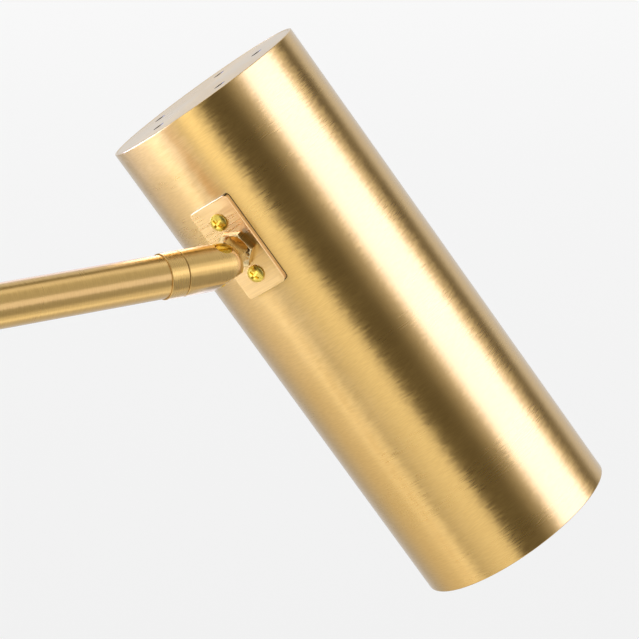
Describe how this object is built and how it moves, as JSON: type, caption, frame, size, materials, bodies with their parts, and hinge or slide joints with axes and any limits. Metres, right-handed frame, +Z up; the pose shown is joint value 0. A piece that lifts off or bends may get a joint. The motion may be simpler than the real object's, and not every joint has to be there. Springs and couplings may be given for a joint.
{
  "type": "tension pole lamp",
  "caption": "Floor-to-ceiling tension pole lamp in satin brass with a swinging arm and a cylindrical spot shade on a rolling, tilting and turning knuckle.",
  "frame": {"origin": "centre of the foot pad's underside, on the pole's axis", "axes": "+Z up along the pole to the ceiling; +X along the arm at rest; +Y completes the frame, with the cord inlet facing +Y"},
  "size_m": [0.5693, 0.1558, 2.44],
  "materials": {
    "satin_brass": "fine turned brush lines under clear lacquer",
    "polished_brass": "polished",
    "zinc_steel": "zinc plated, satin",
    "black_rubber": "matt, fine moulded texture",
    "nylon": "natural nylon, turned",
    "switch_plastic": "moulded, matt",
    "porcelain": "unglazed, fine grained",
    "bulb_glass": "frosted inside"
  },
  "bodies": {
    "pole": {"foot_pad": "black_rubber", "foot_cup": "satin_brass", "foot_screw": "zinc_steel", "foot_plug": "zinc_steel", "lower_pole": "satin_brass", "middle_pole": "satin_brass", "upper_pole": "satin_brass", "lower_coupler": "zinc_steel", "upper_coupler": "zinc_steel", "cord_grommet": "black_rubber", "switch_body": "switch_plastic", "switch_nut": "polished_brass", "lock_collar": "satin_brass", "collar_grub_screw": "zinc_steel"},
    "switch_dial": {"switch_knob": "polished_brass"},
    "collar_thumb_screw": {"collar_knob": "polished_brass"},
    "telescope": {"inner_tube": "satin_brass", "guide_bush": "nylon", "spring_seat": "zinc_steel", "tension_spring": "zinc_steel"},
    "plunger": {"plunger_rod": "polished_brass", "ceiling_cup": "satin_brass", "ceiling_pad": "black_rubber", "ceiling_screw": "zinc_steel"},
    "carrier": {"carry_ring": "satin_brass", "keep_ring": "satin_brass", "ring_grub_screw": "zinc_steel"},
    "ring_thumb_screw": {"ring_knob": "polished_brass"},
    "arm": {"arm_hub": "satin_brass", "hub_bushes": "nylon", "arm_grub_screw": "zinc_steel", "arm_tube": "satin_brass", "arm_ferrule": "satin_brass"},
    "knuckle": {"fork_knuckle": "satin_brass", "swivel_washer": "nylon", "swivel_nut": "polished_brass", "pivot_screw": "polished_brass", "pivot_nut": "polished_brass"},
    "stud": {"swivel_stud": "polished_brass", "stud_washer": "zinc_steel", "stud_nut": "zinc_steel"},
    "head": {"shade_tube": "satin_brass", "top_cap": "satin_brass", "saddle_plate": "satin_brass", "plate_screws": "polished_brass", "backing_plate": "zinc_steel", "holder_bracket": "zinc_steel", "holder_nipple": "polished_brass", "nipple_nut": "zinc_steel", "lampholder": "porcelain", "holder_shell": "polished_brass", "holder_contact": "polished_brass", "bulb_cap": "zinc_steel", "bulb_glass": "bulb_glass"}
  },
  "joints": [
    {"name": "switch_turn", "type": "hinge", "parent": "pole", "child": "switch_dial", "pos_m": [0, -0.03, 1], "axis": [0, -1, 0], "range_deg": [-90, 0]},
    {"name": "collar_knob_turn", "type": "hinge", "parent": "pole", "child": "collar_thumb_screw", "pos_m": [0, -0.02, 2.122], "axis": [0, -1, 0], "range_deg": [0, 270]},
    {"name": "height_slide", "type": "slide", "parent": "pole", "child": "telescope", "axis": [0, 0, 1], "range_m": [-0.15, 0.06]},
    {"name": "plunger_slide", "type": "slide", "parent": "telescope", "child": "plunger", "axis": [0, 0, 1], "range_m": [-0.04, 0], "stiffness_N_per_m": 1200, "springref_m": 0.04, "deforming": ["tension_spring"]},
    {"name": "arm_height", "type": "slide", "parent": "pole", "child": "carrier", "axis": [0, 0, 1], "range_m": [-0.35, 0.5]},
    {"name": "ring_knob_turn", "type": "hinge", "parent": "carrier", "child": "ring_thumb_screw", "pos_m": [0, -0.02, 1.4656], "axis": [0, -1, 0], "range_deg": [0, 270]},
    {"name": "arm_swing", "type": "hinge", "parent": "carrier", "child": "arm", "pos_m": [0, 0, 1.5], "axis": [0, 0, 1], "range_deg": [-170, 170]},
    {"name": "knuckle_turn", "type": "hinge", "parent": "arm", "child": "knuckle", "pos_m": [0.38, 0, 1.5], "axis": [1, 0, 0], "range_deg": [-160, 160]},
    {"name": "head_tilt", "type": "hinge", "parent": "knuckle", "child": "stud", "pos_m": [0.38, 0, 1.5], "axis": [0, -0.3338, 0.9426], "range_deg": [-34.8, 55.2]},
    {"name": "head_turn", "type": "hinge", "parent": "stud", "child": "head", "pos_m": [0.38, 0, 1.5], "axis": [0.8211, 0.538, 0.1905], "range_deg": [-120, 220]}
  ]
}
